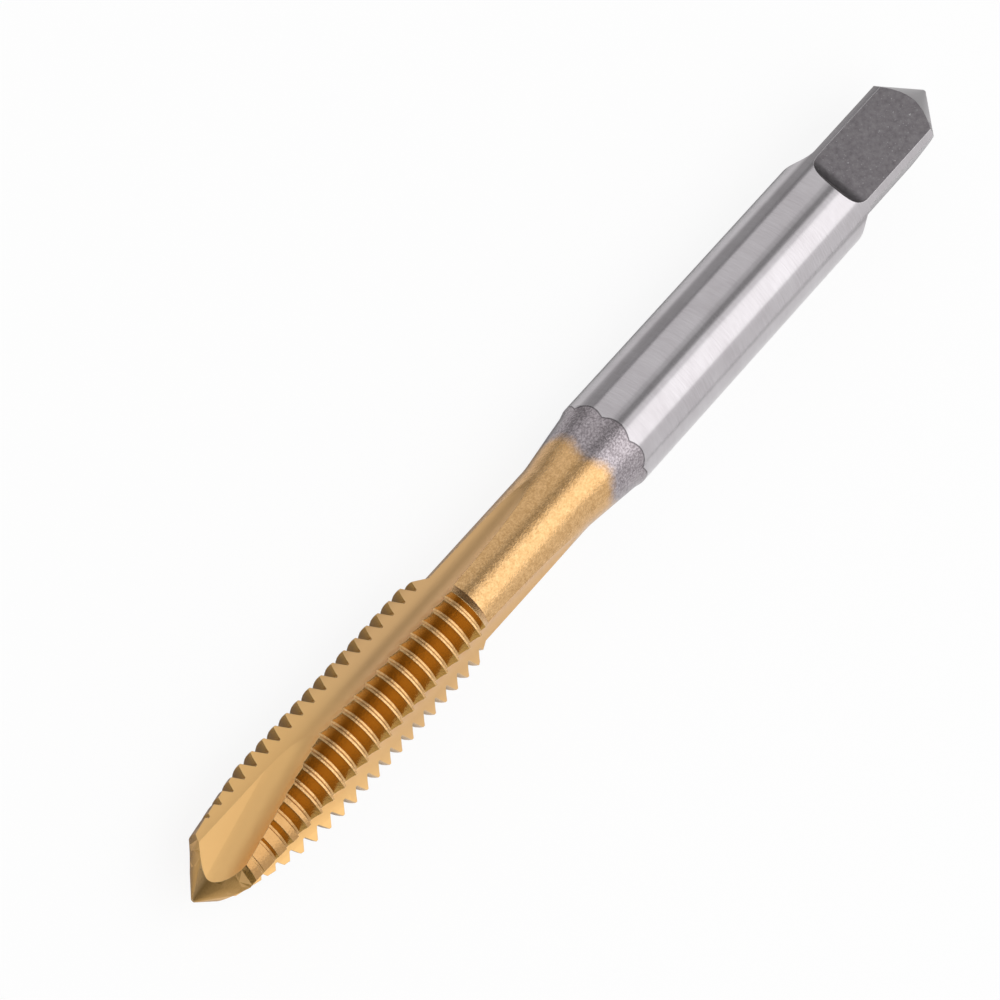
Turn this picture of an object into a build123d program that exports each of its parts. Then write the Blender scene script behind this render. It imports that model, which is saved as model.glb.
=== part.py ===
from build123d import *
import math
import os

# Spiral-point machine tap, M6 x 1, right-hand, with a driving square. Millimetres and degrees.
# The tool lies along X on its shank, point towards -X, floor at Z = 0, with the middle of one land on top.
# Stations are distances along the axis from the front point. Angles about the axis are counted from the
# top, and grow in the sense in which the thread climbs away from the point.

# Thread
MAJOR_DIAMETER = 6.08
PITCH = 1.0
THREAD_ANGLE = 60.0
CREST_FLAT = 0.125              # width left on each full crest
ROOT_FLAT = 0.125
CREST_STATION = 15.55           # a crest crosses the top of the tool here
GROOVE_RISE = 0.08              # the thread form is carried this far beyond the crests
GROOVE_GAP = 16.0               # part of each turn left out, inside a flute

# Lengths, one after the other from the point
LEAD_LENGTH = 4.75              # tapered entering threads
FULL_THREAD_LENGTH = 14.45
STEP_LENGTH = 1.1               # slope from the last thread to the neck
NECK_LENGTH = 9.35
BACK_CONE_LENGTH = 4.0
COLLAR_LENGTH = 0.45            # short chamfer in front of the ground shank
SHANK_LENGTH = 20.95
DRIVE_LENGTH = 11.13            # square with its run-out and the rear centre

# Cross-section sizes
CENTRE_HALF_ANGLE = 40.75       # male centres at both ends
POINT_RADIUS = 0.13             # blunt tips of the centres
NOSE_RELIEF = 0.03              # front centre ends this far below the thread roots
NECK_RELIEF = 0.04              # neck stands this far below the thread roots
COLLAR_DROP = 0.12
SHANK_DIAMETER = 5.9
NECK_FILLET_RADIUS = 5.0

# Straight flutes, round-bottomed
FLUTE_COUNT = 3
FLUTE_RADIUS = 2.44
CORE_RADIUS = 1.97              # steel left under the flutes
FLUTE_STRAIGHT_LENGTH = 21.73   # from here on the flutes climb out of the neck
FLUTE_RUNOUT_RADIUS = 110.0
FLUTE_CLEARANCE = 0.08          # the run-out is carried this far above the neck

# Gun nose: a slanted second cut in front of each land that throws the chips forward
GUN_TURN = -12.0                # the cut's floor faces this way, against the middle of its land
GUN_FLOOR_HEIGHT = 0.98         # floor above the axis at the point
GUN_FLOOR_SLOPE = 0.006         # climb of the floor along the axis
GUN_WALL_OFFSET = 1.4           # wall beside the axis at the point
GUN_WALL_SLOPE = -0.215         # slant of the wall along the axis
GUN_CORNER_RADIUS = 1.5
GUN_LENGTH = 13.0

# Driving square
SQUARE_SIDES = 4
SQUARE_ACROSS_FLATS = 4.5
SQUARE_TURN = -16.0             # first flat, against the land on top
SQUARE_RUNOUT_RADIUS = 1.8
SQUARE_STAGGER = 0.4            # the second pair of flats starts this far behind the first

# How far the cutting shapes reach past the steel
OVERRUN = 1.0

# Derived sizes
major_radius = MAJOR_DIAMETER / 2
shank_radius = SHANK_DIAMETER / 2
flank_slope = math.tan(math.radians(THREAD_ANGLE / 2))
thread_depth = (PITCH - CREST_FLAT - ROOT_FLAT) / 2 / flank_slope
root_radius = major_radius - thread_depth
nose_radius = root_radius - NOSE_RELIEF
neck_radius = root_radius - NECK_RELIEF
centre_slope = math.tan(math.radians(CENTRE_HALF_ANGLE))
back_cone_rise = shank_radius - COLLAR_DROP - neck_radius
back_cone_angle = math.degrees(math.atan2(back_cone_rise, BACK_CONE_LENGTH))
neck_fillet_reach = NECK_FILLET_RADIUS * math.tan(math.radians(back_cone_angle / 2))

# Stations
nose_end = (nose_radius - POINT_RADIUS) / centre_slope
lead_end = nose_end + LEAD_LENGTH
thread_end = lead_end + FULL_THREAD_LENGTH
neck_start = thread_end + STEP_LENGTH
neck_end = neck_start + NECK_LENGTH
back_cone_end = neck_end + BACK_CONE_LENGTH
shank_start = back_cone_end + COLLAR_LENGTH
square_start = shank_start + SHANK_LENGTH
overall_length = square_start + DRIVE_LENGTH
rear_centre_start = overall_length - (shank_radius - POINT_RADIUS) / centre_slope


def on_axis(station):
    """Point on the axis at a station."""
    return Vector(station - overall_length / 2, 0, shank_radius)


def outward(angle):
    """Direction away from the axis at an angle."""
    return Vector(0, -math.sin(math.radians(angle)), math.cos(math.radians(angle)))


def onward(angle):
    """Direction around the axis at an angle, towards greater angles."""
    return Vector(0, -math.cos(math.radians(angle)), -math.sin(math.radians(angle)))


def side_plane(angle):
    """Plane through the axis: x is the station, y points outwards at the angle."""
    return Plane(origin=on_axis(0), x_dir=(1, 0, 0), z_dir=onward(angle))


def cross_plane(angle, station):
    """Plane across the axis: x points onwards, y outwards at the angle."""
    return Plane(origin=on_axis(station), x_dir=onward(angle), z_dir=(-1, 0, 0))


# Turned blank, with its seam where a flute takes it away
flute_turn = 180 / FLUTE_COUNT

with BuildPart() as tap:
    with BuildSketch(side_plane(-flute_turn)) as blank_section:
        with BuildLine() as blank_outline:
            front = Polyline(
                (0, 0),
                (0, POINT_RADIUS),
                (nose_end, nose_radius),
                (lead_end, major_radius),
                (thread_end, major_radius),
                (neck_start, neck_radius),
                (neck_end - neck_fillet_reach, neck_radius),
            )
            neck_fillet = JernArc(
                start=front @ 1,
                tangent=(1, 0),
                radius=NECK_FILLET_RADIUS,
                arc_size=back_cone_angle,
            )
            Polyline(
                neck_fillet @ 1,
                (back_cone_end, shank_radius - COLLAR_DROP),
                (shank_start, shank_radius),
                (rear_centre_start, shank_radius),
                (overall_length, POINT_RADIUS),
                (overall_length, 0),
                (0, 0),
            )
        make_face()
    revolve(axis=Axis(on_axis(0), (1, 0, 0)))

# One turn of the thread groove, with a small gap in the flute that it starts from
groove_turn = flute_turn + GROOVE_GAP / 2
groove_turns_ahead = math.ceil((CREST_STATION - nose_end) / PITCH) + 1
groove_start = CREST_STATION + PITCH * (groove_turn / 360 - 0.5 - groove_turns_ahead)
groove_count = math.ceil((neck_start - groove_start) / PITCH) + 1
groove_top = thread_depth + GROOVE_RISE
groove_half_root = ROOT_FLAT / 2
groove_half_top = groove_half_root + groove_top * flank_slope

with BuildPart() as groove:
    with BuildLine() as groove_path:
        Helix(
            pitch=PITCH,
            height=PITCH * (1 - GROOVE_GAP / 360),
            radius=root_radius,
            center=on_axis(groove_start),
            direction=(1, 0, 0),
        )
    with BuildSketch(side_plane(0)) as groove_section:
        with BuildLine() as groove_outline:
            Polyline(
                (groove_start - groove_half_root, root_radius),
                (groove_start + groove_half_root, root_radius),
                (groove_start + groove_half_top, root_radius + groove_top),
                (groove_start - groove_half_top, root_radius + groove_top),
                close=True,
            )
        make_face()
    sweep(path=groove_path.wires()[0], is_frenet=True)

# Flute: parallel to the axis, then climbing out through the neck
flute_centre_height = CORE_RADIUS + FLUTE_RADIUS
flute_climb = neck_radius + FLUTE_CLEARANCE - CORE_RADIUS
flute_runout_angle = math.degrees(math.acos(1 - flute_climb / FLUTE_RUNOUT_RADIUS))

with BuildPart() as flute:
    with BuildLine(side_plane(flute_turn)) as flute_path:
        flute_straight = Line(
            (-OVERRUN, flute_centre_height),
            (FLUTE_STRAIGHT_LENGTH, flute_centre_height),
        )
        JernArc(
            start=flute_straight @ 1,
            tangent=flute_straight % 1,
            radius=FLUTE_RUNOUT_RADIUS,
            arc_size=flute_runout_angle,
        )
    with BuildSketch(cross_plane(flute_turn, -OVERRUN)) as flute_section:
        with Locations((0, flute_centre_height)):
            Circle(FLUTE_RADIUS)
    sweep(path=flute_path.wires()[0])

# Gun nose: floor and slanted wall, open towards the flute ahead of its land
gun_reach = major_radius + OVERRUN
gun_direction = (
    Vector(1, 0, 0)
    + onward(GUN_TURN) * GUN_WALL_SLOPE
    + outward(GUN_TURN) * GUN_FLOOR_SLOPE
)

with BuildPart() as gun_nose:
    with BuildSketch(cross_plane(GUN_TURN, 0)) as gun_section:
        with BuildLine() as gun_outline:
            gun_floor = Polyline(
                (-gun_reach, gun_reach),
                (-gun_reach, GUN_FLOOR_HEIGHT),
                (GUN_WALL_OFFSET - GUN_CORNER_RADIUS, GUN_FLOOR_HEIGHT),
            )
            gun_corner = JernArc(
                start=gun_floor @ 1,
                tangent=(1, 0),
                radius=GUN_CORNER_RADIUS,
                arc_size=90,
            )
            Polyline(
                gun_corner @ 1,
                (GUN_WALL_OFFSET, gun_reach),
                (-gun_reach, gun_reach),
            )
        make_face()
    extrude(amount=GUN_LENGTH * gun_direction.length, dir=gun_direction)

# One flat of the square, with the round run-out of its wheel at the shank
flat_distance = SQUARE_ACROSS_FLATS / 2
runout_centre_height = flat_distance + SQUARE_RUNOUT_RADIUS
runout_drop = runout_centre_height - shank_radius
flat_start = square_start + math.sqrt(SQUARE_RUNOUT_RADIUS**2 - runout_drop**2)
flat_length = overall_length + OVERRUN - flat_start
flat_width = SHANK_DIAMETER + OVERRUN

with BuildPart() as flat:
    with BuildSketch(side_plane(SQUARE_TURN)) as flat_section:
        with Locations((flat_start, flat_distance)):
            Rectangle(
                flat_length,
                SQUARE_RUNOUT_RADIUS * 2,
                align=(Align.MIN, Align.MIN),
            )
        with Locations((flat_start, runout_centre_height)):
            Circle(SQUARE_RUNOUT_RADIUS)
    extrude(amount=flat_width / 2, both=True)

# The finished tool
axis_line = Axis(on_axis(0), (1, 0, 0))

with tap:
    for index in range(FLUTE_COUNT):
        turned_flute = flute.part.rotate(axis_line, index * 360 / FLUTE_COUNT)
        add(turned_flute, mode=Mode.SUBTRACT)
    first_turn = groove.part.rotate(axis_line, groove_turn)
    turns = [
        first_turn.translate((index * PITCH, 0, 0)) for index in range(groove_count)
    ]
    add(turns, mode=Mode.SUBTRACT)
    for index in range(FLUTE_COUNT):
        turned_gun_nose = gun_nose.part.rotate(axis_line, index * 360 / FLUTE_COUNT)
        add(turned_gun_nose, mode=Mode.SUBTRACT)
    for index in range(SQUARE_SIDES):
        turned_flat = flat.part.rotate(axis_line, index * 360 / SQUARE_SIDES)
        turned_flat = turned_flat.translate((index % 2 * SQUARE_STAGGER, 0, 0))
        add(turned_flat, mode=Mode.SUBTRACT)

spiral_point_tap = tap.part.solids().sort_by(SortBy.VOLUME)[-1]
spiral_point_tap.label = "spiral_point_tap"

os.makedirs("parts", exist_ok=True)
export_step(spiral_point_tap, "parts/spiral_point_tap.step")
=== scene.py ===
import math

import bpy
from mathutils import Matrix, Vector

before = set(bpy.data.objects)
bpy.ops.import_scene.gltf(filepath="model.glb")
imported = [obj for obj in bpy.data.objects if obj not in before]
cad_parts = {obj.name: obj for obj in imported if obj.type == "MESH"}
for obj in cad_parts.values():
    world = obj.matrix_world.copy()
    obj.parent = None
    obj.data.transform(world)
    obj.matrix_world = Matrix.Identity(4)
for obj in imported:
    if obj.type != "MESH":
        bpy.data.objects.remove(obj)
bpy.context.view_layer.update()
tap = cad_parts["spiral_point_tap"]

MM = 0.001
AXIS_HEIGHT = 2.95                 # mm, the tool's axis over the floor

# Camera, in mm and degrees
CAMERA_TILT = 28.5                 # from square on, towards the point
CAMERA_TURN = -12.0                # about the tool's axis, counted from the top towards -Y
CAMERA_DISTANCE = 280.68
CAMERA_AIM = -2.754                # along the axis
FRAME_RIGHT = -2.762               # the frame's middle lies this far beside the aim
FRAME_UP = 0.289
SCREEN_ANGLE = 47.91               # the tool's slant in the frame
FOCAL_LENGTH = 183.4
SENSOR_WIDTH = 36.0

# Floor, in metres: where each painted shade that the steel mirrors starts and ends
FLOOR_SIZE = 3.0
BEHIND_TOOL = (0.007, 0.010)
CLOSE_BY = (0.0034, 0.0042)
FAR_AWAY = (0.02, 0.06)
PAST_ENDS = (0.036, 0.06)

# Lights, in metres
SOFTBOX_DISTANCE = 0.5
SOFTBOX_LENGTH = 1.4
SOFTBOX_SHIFT = 0.3                # along the axis, to where the leaning camera sees them mirrored
SOFTBOXES = {                      # first and last angle from the camera's side, and radiance
    "main softbox": (11, 58, 0.6),
    "main softbox border": (-2, 58, 0.68),
    "left softbox": (-77, -26, 0.2),
    "left softbox border": (-77, -16, 0.3),
    "right softbox": (58, 101, 0.58),
}

# Places on the tool, in mm from its middle, and in degrees round it
COATING_END = -0.21
COATING_WAVES = 5
COATING_WAVE_HEIGHT = 0.26
COATING_WAVE_TURN = -65
GRINDING_END = 2.09
SCALLOPS = 9
SCALLOP_DEPTH = 0.31
SCALLOP_TURN = 67.5
SQUARE_START = 20.0
FLAT_RADIUS = 2.93                 # behind that, what lies nearer to the axis than this is milled
FLUTE_RADIUS = 2.3                 # what is gold and lies nearer to the axis than this is flute
NOSE_FINISH_AND_HIGHLIGHT = (-18.0, -25.0)        # the gun noses turn paler between these, partly their own finish and partly painted highlight
LEAD_FINISH_AND_SHADE = (-25.5, -28.5)        # the lead turns duller between these, partly its own finish and partly painted shade
LAND_HALF_ANGLE = 60               # half of the third of a turn that each land and its flutes take
CUTTING_SIDE = (-19, -31)          # the flanks turn paler between these, towards the cutting edge, partly from honing and partly by painted highlight

# Relief of the patterns, and rounding of the edges as the light sees it, in metres
GRAIN_DEPTH = 0.016 * MM
MOTTLE_DEPTH = 0.010 * MM
MARK_DEPTH = 0.004 * MM
EDGE_ROUNDING = 0.04 * MM


def linear(code):
    """A hex sRGB colour as linear RGBA."""
    parts = [int(code[i:i + 2], 16) / 255 for i in (1, 3, 5)]
    parts = [c / 12.92 if c <= 0.04045 else ((c + 0.055) / 1.055) ** 2.4 for c in parts]
    return (*parts, 1.0)


def add_node(tree, kind, inputs=None, **settings):
    """One shader node with its settings. Its inputs are values, outputs, or nodes for their first output."""
    node = tree.nodes.new("ShaderNode" + kind)
    for name, value in settings.items():
        setattr(node, name, value)
    for key, value in (inputs or {}).items():
        if isinstance(value, bpy.types.Node):
            value = next(output for output in value.outputs if output.enabled)
        if isinstance(value, bpy.types.NodeSocket):
            tree.links.new(value, node.inputs[key])
        else:
            node.inputs[key].default_value = value
    return node


def new_material(name):
    material = bpy.data.materials.new(name)
    material.use_nodes = True
    material.node_tree.nodes.clear()
    return material, material.node_tree


def outward(angle):
    """Direction away from the tool's axis, counted in degrees from the top towards -Y."""
    return Vector((0, -math.sin(math.radians(angle)), math.cos(math.radians(angle))))


def placed(x, y, z, place):
    """The matrix of a camera or light with these three axes at this place."""
    return Matrix((
        (x.x, y.x, z.x, place.x),
        (x.y, y.y, z.y, place.y),
        (x.z, y.z, z.z, place.z),
        (0, 0, 0, 1),
    ))


def add_camera():
    tilt = math.radians(CAMERA_TILT)
    slant = math.radians(SCREEN_ANGLE)
    back = Vector((-math.sin(tilt), 0, 0)) + outward(CAMERA_TURN) * math.cos(tilt)
    along = (Vector((1, 0, 0)) - back * back.x).normalized()
    across = outward(CAMERA_TURN + 90)
    right = along * math.cos(slant) + across * math.sin(slant)
    up = along * math.sin(slant) - across * math.cos(slant)
    aim = Vector((CAMERA_AIM, 0, AXIS_HEIGHT))
    place = aim + back * CAMERA_DISTANCE
    back = (place - aim - right * FRAME_RIGHT - up * FRAME_UP).normalized()
    right = (right - back * right.dot(back)).normalized()
    up = back.cross(right)
    data = bpy.data.cameras.new("camera")
    data.sensor_width = SENSOR_WIDTH
    data.lens = FOCAL_LENGTH
    data.clip_start = 0.01
    data.clip_end = 20
    camera = bpy.data.objects.new("camera", data)
    bpy.context.scene.collection.objects.link(camera)
    camera.matrix_world = placed(right, up, back, place * MM)
    bpy.context.scene.camera = camera


def paper_on_light_table():
    # White paper on a light table: the camera sees it glow, with a faint shadow. What the steel mirrors of it
    # is white beside the tool, and greyer close by, behind it and past its ends, where shade is painted on
    # it.
    paper, tree = new_material("white paper on a light table")
    coords = add_node(tree, "TexCoord")
    split = add_node(tree, "SeparateXYZ", {0: coords.outputs["Object"]})
    # Painted shade that only the steel's reflections show
    behind = add_node(tree, "MapRange", {
        "Value": split.outputs["Y"],
        "From Min": BEHIND_TOOL[0],
        "From Max": BEHIND_TOOL[1],
        "To Min": 1.0,
        "To Max": 0.45,
    })
    aside = add_node(tree, "Math", {0: split.outputs["Y"]}, operation="ABSOLUTE")
    close_by = add_node(tree, "MapRange", {
        "Value": aside, "From Min": CLOSE_BY[0], "From Max": CLOSE_BY[1], "To Min": 0.65, "To Max": 1.0,
    })
    far_away = add_node(tree, "MapRange", {
        "Value": aside, "From Min": FAR_AWAY[0], "From Max": FAR_AWAY[1], "To Min": 0.0, "To Max": 0.75,
    })
    along = add_node(tree, "Math", {0: split.outputs["X"]}, operation="ABSOLUTE")
    past_ends = add_node(tree, "MapRange", {
        "Value": along, "From Min": PAST_ENDS[0], "From Max": PAST_ENDS[1], "To Min": 1.0, "To Max": 0.2,
    })
    past_ends = add_node(tree, "Math", {0: past_ends, 1: far_away}, operation="MAXIMUM")
    shade = add_node(tree, "Math", {0: behind, 1: close_by}, operation="MULTIPLY")
    shade = add_node(tree, "Math", {0: shade, 1: past_ends}, operation="MULTIPLY")
    grey = add_node(tree, "CombineColor", {0: shade, 1: shade, 2: shade})
    mirrored = add_node(tree, "BsdfDiffuse", {"Color": grey})
    glow = add_node(tree, "Emission", {"Color": linear("#FFFFFF"), "Strength": 0.89})
    faint = add_node(tree, "BsdfDiffuse", {"Color": linear("#5C5C5C")})
    table = add_node(tree, "AddShader", {0: glow, 1: faint})
    path = add_node(tree, "LightPath")
    surface = add_node(tree, "MixShader", {0: path.outputs["Is Camera Ray"], 1: mirrored, 2: table})
    add_node(tree, "OutputMaterial", {"Surface": surface})
    return paper


def add_floor():
    bpy.ops.mesh.primitive_plane_add(size=FLOOR_SIZE, location=(0, 0, 0))
    floor = bpy.context.object
    floor.name = "floor"
    floor.data.materials.append(paper_on_light_table())


def set_studio():
    """A grey studio, darker towards both ends of the tool, with a white backdrop."""
    bpy.context.scene.view_settings.view_transform = "Standard"
    world = bpy.data.worlds.new("studio")
    bpy.context.scene.world = world
    world.use_nodes = True
    tree = world.node_tree
    coords = add_node(tree, "TexCoord")
    split = add_node(tree, "SeparateXYZ", {0: coords.outputs["Generated"]})
    lean = add_node(tree, "Math", {0: split.outputs["X"]}, operation="ABSOLUTE")
    walls = add_node(tree, "MapRange", {
        "Value": lean, "From Min": 0.6, "From Max": 0.9, "To Min": 0.31, "To Max": 0.13,
    })
    path = add_node(tree, "LightPath")
    backdrop = add_node(tree, "Math", {0: path.outputs["Is Camera Ray"], 1: 0.9}, operation="MULTIPLY")
    strength = add_node(tree, "Math", {0: walls, 1: backdrop}, operation="MAXIMUM")
    background = tree.nodes["Background"]
    background.inputs["Color"].default_value = linear("#FFFFFF")
    tree.links.new(strength.outputs[0], background.inputs["Strength"])


def add_softbox(name, first, last, radiance):
    """A long soft light that spans two angles about the tool's axis, counted from the camera's side."""
    width = 2 * SOFTBOX_DISTANCE * math.tan(math.radians((last - first) / 2))
    data = bpy.data.lights.new(name, "AREA")
    data.shape = "RECTANGLE"
    data.size = SOFTBOX_LENGTH
    data.size_y = width
    data.energy = radiance * math.pi * SOFTBOX_LENGTH * width
    light = bpy.data.objects.new(name, data)
    bpy.context.scene.collection.objects.link(light)
    z = outward((first + last) / 2 + CAMERA_TURN)
    x = Vector((1, 0, 0))
    middle = Vector((CAMERA_AIM * MM + SOFTBOX_SHIFT, 0, AXIS_HEIGHT * MM))
    light.matrix_world = placed(x, z.cross(x), z, middle + z * SOFTBOX_DISTANCE)
    light.visible_camera = False


class Place:
    """Where a point of the tool is, in mm and radians, and how its surface lies."""

    def __init__(self, tree):
        coords = add_node(tree, "TexCoord")
        self.point = add_node(tree, "Mapping", {
            "Vector": coords.outputs["Object"],
            "Location": (0, 0, -AXIS_HEIGHT),
            "Scale": (1 / MM, 1 / MM, 1 / MM),
        })
        split = add_node(tree, "SeparateXYZ", {0: self.point})
        self.x, y, z = split.outputs
        front = add_node(tree, "Math", {0: y, 1: -1.0}, operation="MULTIPLY")
        self.angle = add_node(tree, "Math", {0: front, 1: z}, operation="ARCTAN2")
        spoke = add_node(tree, "CombineXYZ", {1: y, 2: z})
        self.radius = add_node(tree, "VectorMath", {0: spoke}, operation="LENGTH")
        self.normal = add_node(tree, "NewGeometry").outputs["True Normal"]
        normal_split = add_node(tree, "SeparateXYZ", {0: self.normal})
        self.slant = add_node(tree, "Math", {0: normal_split.outputs["X"]}, operation="ABSOLUTE")
        # How far the surface faces round the axis: 0 on a cylinder or cone, 1 on a wall through the axis
        down = add_node(tree, "Math", {0: z, 1: -1.0}, operation="MULTIPLY")
        around = add_node(tree, "CombineXYZ", {1: down, 2: y})
        turn = add_node(tree, "VectorMath", {0: around, 1: self.normal}, operation="DOT_PRODUCT")
        turn = add_node(tree, "Math", {0: turn, 1: self.radius}, operation="DIVIDE")
        self.sideways = add_node(tree, "Math", {0: turn}, operation="ABSOLUTE")
        self.far_end = add_node(tree, "Math", {0: self.x, 1: SQUARE_START}, operation="GREATER_THAN")


class Patterns:
    """The noises that all four surfaces share, with their scales per mm, and the rounded edges, with a mask
    for edges that are paler partly from wear and partly by painted highlight.
    """

    def __init__(self, tree, place):
        # Grain of 0.12 mm, coarser than the real one so that it shows, speckle of 0.35 mm and clouds of 2 mm
        self.grain = add_node(tree, "TexNoise", {
            "Vector": place.point, "Scale": 8.0, "Detail": 2.0, "Roughness": 0.6,
        })
        self.speckle = add_node(tree, "TexNoise", {
            "Vector": place.point, "Scale": 2.9, "Detail": 4.0, "Roughness": 0.7,
        })
        self.clouds = add_node(tree, "TexNoise", {
            "Vector": place.point, "Scale": 0.5, "Detail": 2.0, "Roughness": 0.5,
        })
        # Grinding marks round the tool, 0.09 mm apart and 1.5 mm long, also coarser than the real ones
        stretched = add_node(tree, "Mapping", {"Vector": place.point, "Scale": (11.0, 0.7, 0.7)})
        self.marks = add_node(tree, "TexNoise", {
            "Vector": stretched, "Scale": 1.0, "Detail": 3.0, "Roughness": 0.65,
        })
        self.rounded = add_node(tree, "Bevel", {"Radius": EDGE_ROUNDING}, samples=6)
        # Edges paler partly from wear and partly by painted highlight: where the rounded normal turns from
        # the true one
        likeness = add_node(tree, "VectorMath", {0: self.rounded, 1: place.normal}, operation="DOT_PRODUCT")
        self.wear_and_highlight = add_node(tree, "MapRange", {"Value": likeness, "From Min": 0.97, "From Max": 0.87})


def coating_border(tree, place, patterns):
    """0 on the gold and 1 behind it: a soft, wavy and speckled border."""
    wave = add_node(tree, "Math", {
        0: place.angle, 1: float(COATING_WAVES), 2: math.radians(COATING_WAVE_TURN),
    }, operation="MULTIPLY_ADD")
    wave = add_node(tree, "Math", {0: wave}, operation="COSINE")
    wave = add_node(tree, "Math", {0: wave, 1: COATING_WAVE_HEIGHT, 2: COATING_END}, operation="MULTIPLY_ADD")
    past = add_node(tree, "Math", {0: place.x, 1: wave}, operation="SUBTRACT")
    past = add_node(tree, "Math", {0: patterns.speckle, 1: 0.8, 2: past}, operation="MULTIPLY_ADD")
    return add_node(tree, "MapRange", {
        "Value": past, "From Min": -0.1, "From Max": 0.9,
    }, interpolation_type="SMOOTHSTEP")


def past_scallops(tree, place, patterns):
    """Distance in mm behind the scalloped line where the grinding wheel ran out."""
    lobe = add_node(tree, "Math", {
        0: place.angle, 1: SCALLOPS / 2, 2: math.radians(SCALLOP_TURN),
    }, operation="MULTIPLY_ADD")
    lobe = add_node(tree, "Math", {0: lobe}, operation="COSINE")
    lobe = add_node(tree, "Math", {0: lobe}, operation="ABSOLUTE")
    lobe = add_node(tree, "Math", {0: lobe, 1: SCALLOP_DEPTH, 2: GRINDING_END}, operation="MULTIPLY_ADD")
    past = add_node(tree, "Math", {0: place.x, 1: lobe}, operation="SUBTRACT")
    return add_node(tree, "Math", {0: patterns.grain, 1: 0.06, 2: past}, operation="MULTIPLY_ADD")


def coated_surface(tree, place, patterns):
    # Titanium nitride from a vacuum chamber, a few micrometres thick: gold and satin, with the grain of the
    # steel under it. It is smoother in the flutes and most satin on the gun noses. Its colour also holds
    # painted
    # light and shade: browner on the thread's flanks by painted shade, and paler on them towards the cutting
    # edge, partly from honing and partly by painted highlight; paler in the flutes by painted light;
    # brightest on the gun noses, partly their own finish and partly painted highlight; duller on the lead,
    # partly its own finish and partly painted shade; and pale along the edges, partly from wear and partly by
    # painted highlight.
    flank = add_node(tree, "MapRange", {"Value": place.slant, "From Min": 0.5, "From Max": 0.75})
    beside = add_node(tree, "MapRange", {"Value": place.sideways, "From Min": 0.1, "From Max": 0.35})
    deep = add_node(tree, "MapRange", {
        "Value": place.radius, "From Min": FLUTE_RADIUS + 0.03, "From Max": FLUTE_RADIUS - 0.02,
    })
    fluted = add_node(tree, "Math", {0: beside, 1: deep}, operation="MAXIMUM")
    fluted = add_node(tree, "Math", {0: fluted, 1: flank}, operation="SUBTRACT", use_clamp=True)
    nose = add_node(tree, "MapRange", {
        "Value": place.x, "From Min": NOSE_FINISH_AND_HIGHLIGHT[0], "From Max": NOSE_FINISH_AND_HIGHLIGHT[1],
    })
    nose = add_node(tree, "Math", {0: nose, 1: fluted}, operation="MULTIPLY")
    lead = add_node(tree, "MapRange", {
        "Value": place.x, "From Min": LEAD_FINISH_AND_SHADE[0], "From Max": LEAD_FINISH_AND_SHADE[1], "To Max": 0.8,
    })
    on_land = add_node(tree, "Math", {
        0: place.angle, 1: math.radians(LAND_HALF_ANGLE), 2: math.radians(-LAND_HALF_ANGLE),
    }, operation="WRAP")
    # Paler towards the cutting edge: partly honing, partly painted highlight
    honed_and_highlit_side = add_node(tree, "MapRange", {
        "Value": on_land,
        "From Min": math.radians(CUTTING_SIDE[0]),
        "From Max": math.radians(CUTTING_SIDE[1]),
    })
    shade = add_node(tree, "Math", {0: patterns.speckle, 1: patterns.grain}, operation="ADD")
    shade = add_node(tree, "MapRange", {"Value": shade, "From Min": 0.75, "From Max": 1.25})
    colour = add_node(tree, "Mix", {0: shade, 6: linear("#C89D67"), 7: linear("#E9BD86")}, data_type="RGBA")
    # Duller lead: partly its own finish, partly painted shade
    colour = add_node(tree, "Mix", {0: lead, 6: colour, 7: linear("#B68A55")}, data_type="RGBA")
    # Paler in the flutes: painted light
    colour = add_node(tree, "Mix", {0: fluted, 6: colour, 7: linear("#E2B780")}, data_type="RGBA")
    # Paler gun noses: partly their own finish, partly painted highlight
    colour = add_node(tree, "Mix", {0: nose, 6: colour, 7: linear("#F7CB89")}, data_type="RGBA")
    # Browner flanks: painted shade, turning paler towards the cutting edge
    flank_shade_and_highlight = add_node(tree, "Mix", {
        0: honed_and_highlit_side, 6: linear("#BA8E48"), 7: linear("#E5BC81"),
    }, data_type="RGBA")
    colour = add_node(tree, "Mix", {0: flank, 6: colour, 7: flank_shade_and_highlight}, data_type="RGBA")
    # Paler edges: partly wear, partly painted highlight
    colour = add_node(tree, "Mix", {0: patterns.wear_and_highlight, 6: colour, 7: linear("#F3D49B")}, data_type="RGBA")
    roughness = add_node(tree, "Math", {0: fluted, 1: 0.14, 2: 0.22}, operation="MULTIPLY_ADD")
    roughness = add_node(tree, "Math", {0: nose, 1: 0.2, 2: roughness}, operation="MULTIPLY_ADD")
    strength = add_node(tree, "MapRange", {"Value": fluted, "To Min": 1.0, "To Max": 0.15})
    bump = add_node(tree, "Bump", {
        "Height": patterns.grain, "Strength": strength, "Distance": GRAIN_DEPTH, "Normal": patterns.rounded,
    })
    surface = add_node(tree, "BsdfPrincipled", {
        "Base Color": colour,
        "Metallic": 1.0,
        "Roughness": roughness,
        "Coat Weight": 0.15,
        "Coat Roughness": 0.3,
        "Normal": bump,
    })
    return surface, bump


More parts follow.
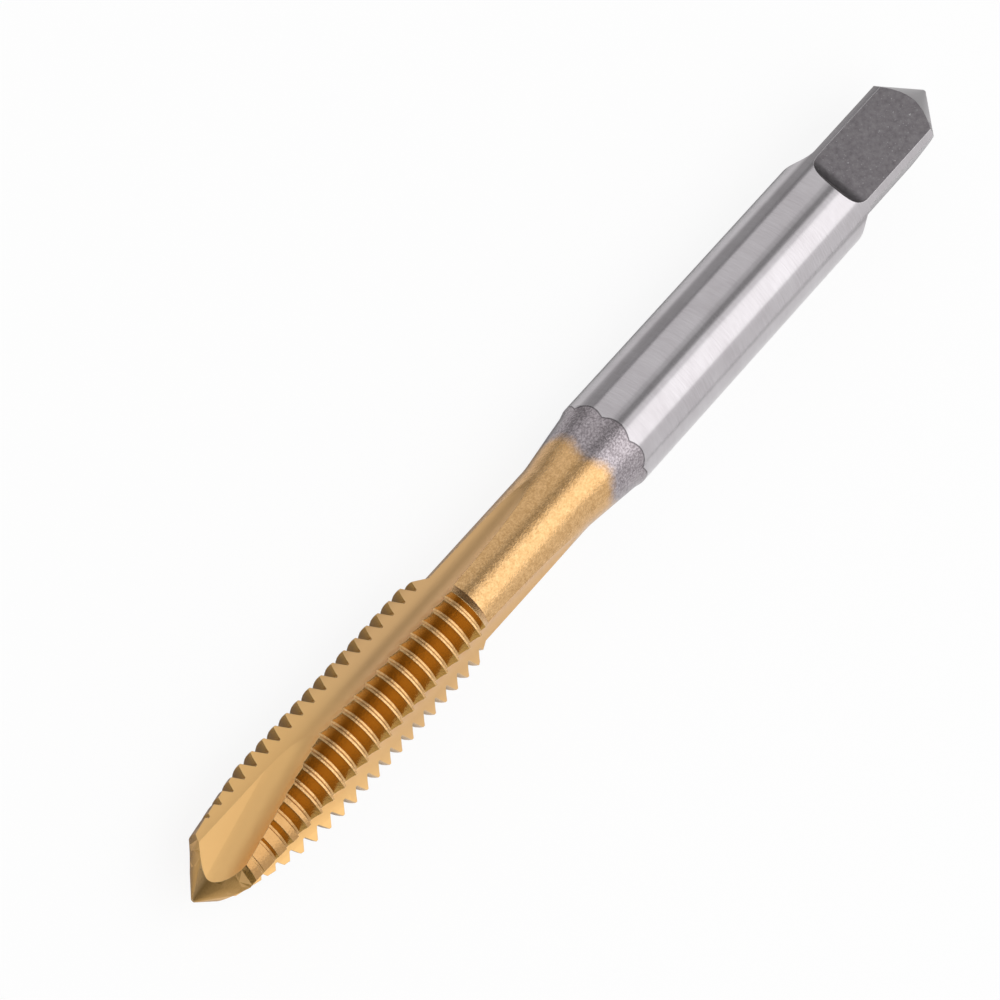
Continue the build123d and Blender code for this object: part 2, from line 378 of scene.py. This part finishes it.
def furnace_dark_surface(tree, patterns, past, bump):
    # Turned and hardened steel, left as the furnace made it: dark, with paler speckles, and darkest in a thin
    # line at the edge of the grinding.
    shade = add_node(tree, "MapRange", {"Value": patterns.grain, "From Min": 0.35, "From Max": 0.65})
    colour = add_node(tree, "Mix", {0: shade, 6: linear("#898185"), 7: linear("#BCB4B8")}, data_type="RGBA")
    edge = add_node(tree, "MapRange", {"Value": past, "From Min": -0.07, "From Max": 0.0})
    edge = add_node(tree, "Math", {0: edge, 1: 0.75}, operation="MULTIPLY")
    colour = add_node(tree, "Mix", {0: edge, 6: colour, 7: linear("#3F3C3F")}, data_type="RGBA")
    return add_node(tree, "BsdfPrincipled", {
        "Base Color": colour, "Metallic": 1.0, "Roughness": 0.25, "Normal": bump,
    })


def ground_surface(tree, patterns):
    # Hardened steel ground between centres: bright, with fine marks round it and slight clouds.
    shade = add_node(tree, "Math", {0: patterns.marks, 1: patterns.clouds}, operation="ADD")
    shade = add_node(tree, "MapRange", {"Value": shade, "From Min": 0.7, "From Max": 1.3})
    colour = add_node(tree, "Mix", {0: shade, 6: linear("#BEB9BC"), 7: linear("#CBC7CA")}, data_type="RGBA")
    bump = add_node(tree, "Bump", {
        "Height": patterns.marks, "Strength": 0.35, "Distance": MARK_DEPTH, "Normal": patterns.rounded,
    })
    return add_node(tree, "BsdfPrincipled", {
        "Base Color": colour, "Metallic": 1.0, "Roughness": 0.17, "Normal": bump,
    })


def milled_surface(tree, place, patterns):
    # Steel milled before hardening: dull grey and mottled, with a few bright specks that are painted glints,
    # edges paler partly from wear and partly by painted highlight, and a paler cone, partly its own finish
    # and partly painted light.
    cone = add_node(tree, "Math", {0: place.slant, 1: 0.6}, operation="GREATER_THAN")
    cone = add_node(tree, "Math", {0: cone, 1: place.far_end}, operation="MULTIPLY")
    shade = add_node(tree, "MapRange", {"Value": patterns.speckle, "From Min": 0.3, "From Max": 0.7})
    colour = add_node(tree, "Mix", {0: shade, 6: linear("#8B8589"), 7: linear("#AAA5A8")}, data_type="RGBA")
    # Bright specks: painted glints
    pit_glints = add_node(tree, "MapRange", {"Value": patterns.grain, "From Min": 0.66, "From Max": 0.73})
    colour = add_node(tree, "Mix", {0: pit_glints, 6: colour, 7: linear("#DAD7DA")}, data_type="RGBA")
    # Paler cone: partly its own finish, partly painted light
    colour = add_node(tree, "Mix", {0: cone, 6: colour, 7: linear("#CCC8CA")}, data_type="RGBA")
    # Paler edges: partly wear, partly painted highlight
    colour = add_node(tree, "Mix", {0: patterns.wear_and_highlight, 6: colour, 7: linear("#E1DEE1")}, data_type="RGBA")
    bump = add_node(tree, "Bump", {
        "Height": patterns.speckle, "Strength": 0.4, "Distance": MOTTLE_DEPTH, "Normal": patterns.rounded,
    })
    return add_node(tree, "BsdfPrincipled", {
        "Base Color": colour, "Metallic": 1.0, "Roughness": 0.28, "Normal": bump,
    })


def tap_steel():
    # Hardened high speed steel, one bar with four surfaces from the point back: coated gold, left dark by the
    # furnace, ground bright, and the milled square.
    steel, tree = new_material("coated and ground high speed steel")
    place = Place(tree)
    patterns = Patterns(tree, place)
    behind_coating = coating_border(tree, place, patterns)
    past = past_scallops(tree, place, patterns)
    ground = add_node(tree, "MapRange", {"Value": past, "From Min": 0.02, "From Max": 0.05})
    inside = add_node(tree, "MapRange", {
        "Value": place.radius, "From Min": FLAT_RADIUS + 0.01, "From Max": FLAT_RADIUS - 0.01,
    })
    milled = add_node(tree, "Math", {0: inside, 1: place.far_end}, operation="MULTIPLY")
    gold, grain_bump = coated_surface(tree, place, patterns)
    dark = furnace_dark_surface(tree, patterns, past, grain_bump)
    surface = add_node(tree, "MixShader", {0: behind_coating, 1: gold, 2: dark})
    surface = add_node(tree, "MixShader", {0: ground, 1: surface, 2: ground_surface(tree, patterns)})
    surface = add_node(tree, "MixShader", {0: milled, 1: surface, 2: milled_surface(tree, place, patterns)})
    add_node(tree, "OutputMaterial", {"Surface": surface})
    return steel


add_camera()
add_floor()
set_studio()
for name, (first, last, radiance) in SOFTBOXES.items():
    add_softbox(name, first, last, radiance)
steel = tap_steel()
for slot in tap.material_slots:
    slot.material = steel
